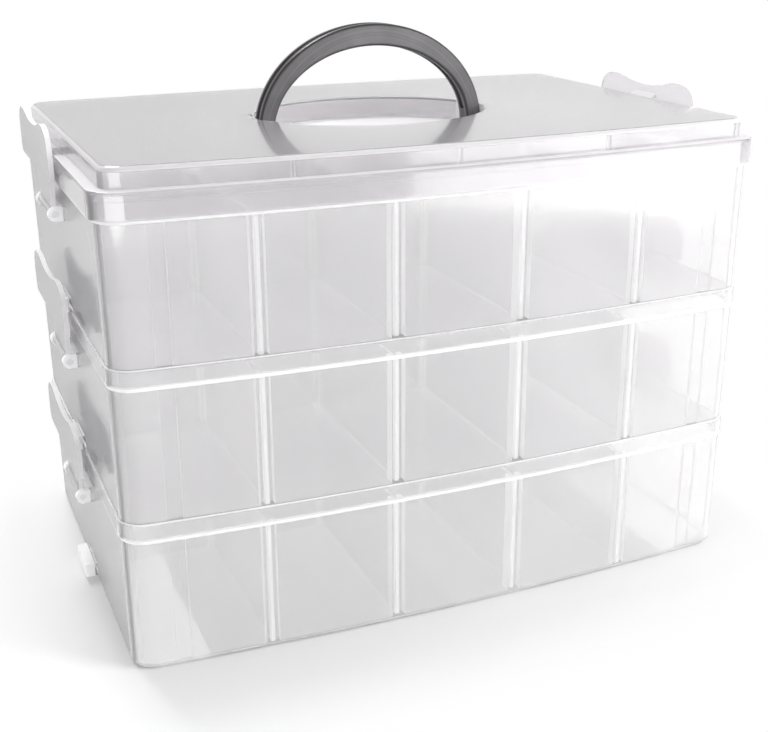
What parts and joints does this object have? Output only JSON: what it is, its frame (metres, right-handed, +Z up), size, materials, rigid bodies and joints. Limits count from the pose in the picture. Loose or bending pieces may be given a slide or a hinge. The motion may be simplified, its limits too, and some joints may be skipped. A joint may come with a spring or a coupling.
{
  "type": "compartment storage box",
  "caption": "Clear plastic stacking compartment box: latched trays with slide-in dividers under a lid with a folding carry handle.",
  "frame": {"origin": "on the floor under the middle of the box", "axes": "+X along the box towards its right latches, +Y towards its back, +Z up"},
  "size_m": [0.3326, 0.2238, 0.2696],
  "materials": {
    "clear_plastic": "clear moulded plastic, glossy, faintly hazy",
    "smoke_plastic": "smoky grey moulded plastic, glossy"
  },
  "bodies": {
    "bottom_tray": {"tray_bottom": "clear_plastic", "divider_bottom_front_1": "clear_plastic", "divider_bottom_front_2": "clear_plastic", "divider_bottom_front_3": "clear_plastic", "divider_bottom_front_4": "clear_plastic", "divider_bottom_back_1": "clear_plastic", "divider_bottom_back_2": "clear_plastic", "divider_bottom_back_3": "clear_plastic", "divider_bottom_back_4": "clear_plastic"},
    "middle_tray": {"tray_middle": "clear_plastic", "divider_middle_front_1": "clear_plastic", "divider_middle_front_2": "clear_plastic", "divider_middle_front_3": "clear_plastic", "divider_middle_front_4": "clear_plastic", "divider_middle_back_1": "clear_plastic", "divider_middle_back_2": "clear_plastic", "divider_middle_back_3": "clear_plastic", "divider_middle_back_4": "clear_plastic"},
    "top_tray": {"tray_top": "clear_plastic", "divider_top_front_1": "clear_plastic", "divider_top_front_2": "clear_plastic", "divider_top_front_3": "clear_plastic", "divider_top_front_4": "clear_plastic", "divider_top_back_1": "clear_plastic", "divider_top_back_2": "clear_plastic", "divider_top_back_3": "clear_plastic", "divider_top_back_4": "clear_plastic"},
    "lid": {"lid": "clear_plastic"},
    "handle": {"handle": "smoke_plastic"},
    "latch_bottom_left": {"latch_bottom_left": "clear_plastic"},
    "latch_bottom_right": {"latch_bottom_right": "clear_plastic"},
    "latch_middle_left": {"latch_middle_left": "clear_plastic"},
    "latch_middle_right": {"latch_middle_right": "clear_plastic"},
    "latch_top_left": {"latch_top_left": "clear_plastic"},
    "latch_top_right": {"latch_top_right": "clear_plastic"}
  },
  "joints": [
    {"name": "middle_tray_lift", "type": "slide", "parent": "bottom_tray", "child": "middle_tray", "axis": [0, 0, 1], "range_m": [0, 0.03]},
    {"name": "top_tray_lift", "type": "slide", "parent": "middle_tray", "child": "top_tray", "axis": [0, 0, 1], "range_m": [0, 0.03]},
    {"name": "lid_lift", "type": "slide", "parent": "top_tray", "child": "lid", "axis": [0, 0, 1], "range_m": [0, 0.03]},
    {"name": "handle_fold", "type": "hinge", "parent": "lid", "child": "handle", "pos_m": [0, 0, 0.2219], "axis": [1, 0, 0], "range_deg": [-90, 90]},
    {"name": "latch_bottom_left_swing", "type": "hinge", "parent": "bottom_tray", "child": "latch_bottom_left", "pos_m": [-0.1622, 0, 0.0513], "axis": [0, -1, 0], "range_deg": [0, 110]},
    {"name": "latch_bottom_right_swing", "type": "hinge", "parent": "bottom_tray", "child": "latch_bottom_right", "pos_m": [0.1622, 0, 0.0513], "axis": [0, 1, 0], "range_deg": [0, 110]},
    {"name": "latch_middle_left_swing", "type": "hinge", "parent": "middle_tray", "child": "latch_middle_left", "pos_m": [-0.1622, 0, 0.122], "axis": [0, -1, 0], "range_deg": [0, 110]},
    {"name": "latch_middle_right_swing", "type": "hinge", "parent": "middle_tray", "child": "latch_middle_right", "pos_m": [0.1622, 0, 0.122], "axis": [0, 1, 0], "range_deg": [0, 110]},
    {"name": "latch_top_left_swing", "type": "hinge", "parent": "top_tray", "child": "latch_top_left", "pos_m": [-0.1622, 0, 0.1927], "axis": [0, -1, 0], "range_deg": [0, 110]},
    {"name": "latch_top_right_swing", "type": "hinge", "parent": "top_tray", "child": "latch_top_right", "pos_m": [0.1622, 0, 0.1927], "axis": [0, 1, 0], "range_deg": [0, 110]}
  ],
  "couplings": [
    {"joint": "latch_bottom_left_swing", "follows": "middle_tray_lift", "rad_per_m": 63.9},
    {"joint": "latch_bottom_right_swing", "follows": "middle_tray_lift", "rad_per_m": 63.9},
    {"joint": "latch_middle_left_swing", "follows": "top_tray_lift", "rad_per_m": 63.9},
    {"joint": "latch_middle_right_swing", "follows": "top_tray_lift", "rad_per_m": 63.9},
    {"joint": "latch_top_left_swing", "follows": "lid_lift", "rad_per_m": 63.9},
    {"joint": "latch_top_right_swing", "follows": "lid_lift", "rad_per_m": 63.9}
  ]
}
